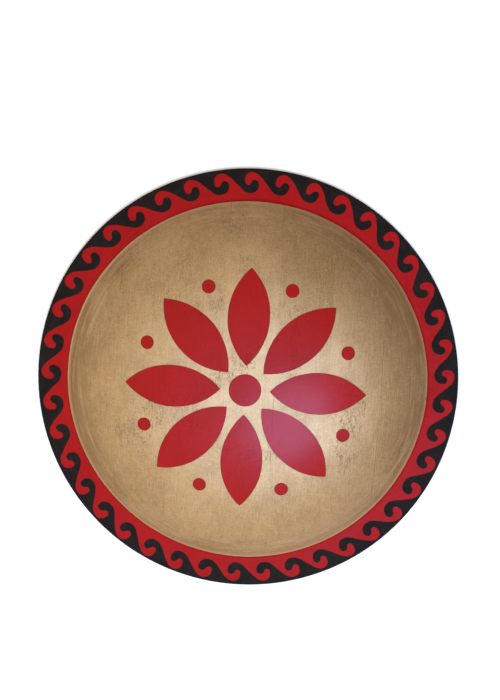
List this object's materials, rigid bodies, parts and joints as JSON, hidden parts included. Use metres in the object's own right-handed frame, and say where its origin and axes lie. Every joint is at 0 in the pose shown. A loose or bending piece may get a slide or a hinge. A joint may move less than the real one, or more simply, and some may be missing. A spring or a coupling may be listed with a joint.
{
  "type": "hoplite shield",
  "caption": "Round domed wooden shield with a broad flat rim, painted gold with a red device and a wave border, with a leather arm band and hand grip inside.",
  "frame": {"origin": "middle of the rim's flat back, on the surface that the shield lies on", "axes": "+Z out of the painted face, +Y towards the top of the painted device, so the hand grip is at -X"},
  "size_m": [0.9, 0.9, 0.132],
  "materials": {
    "painted_wood": "turned planks under satin metallic gold paint, with a red ring, a red and black wave border and a black edge; stained bare wood behind",
    "leather": "thick brown vegetable-tanned strap leather, waxed",
    "brass": "domed nail heads, dulled brass"
  },
  "bodies": {
    "root": {"shield_bowl": "painted_wood", "arm_band": "leather", "arm_band_nail_1": "brass", "arm_band_nail_2": "brass", "arm_band_nail_3": "brass", "arm_band_nail_4": "brass", "hand_grip": "leather", "hand_grip_nail_1": "brass", "hand_grip_nail_2": "brass", "hand_grip_nail_3": "brass", "hand_grip_nail_4": "brass"}
  },
  "joints": []
}
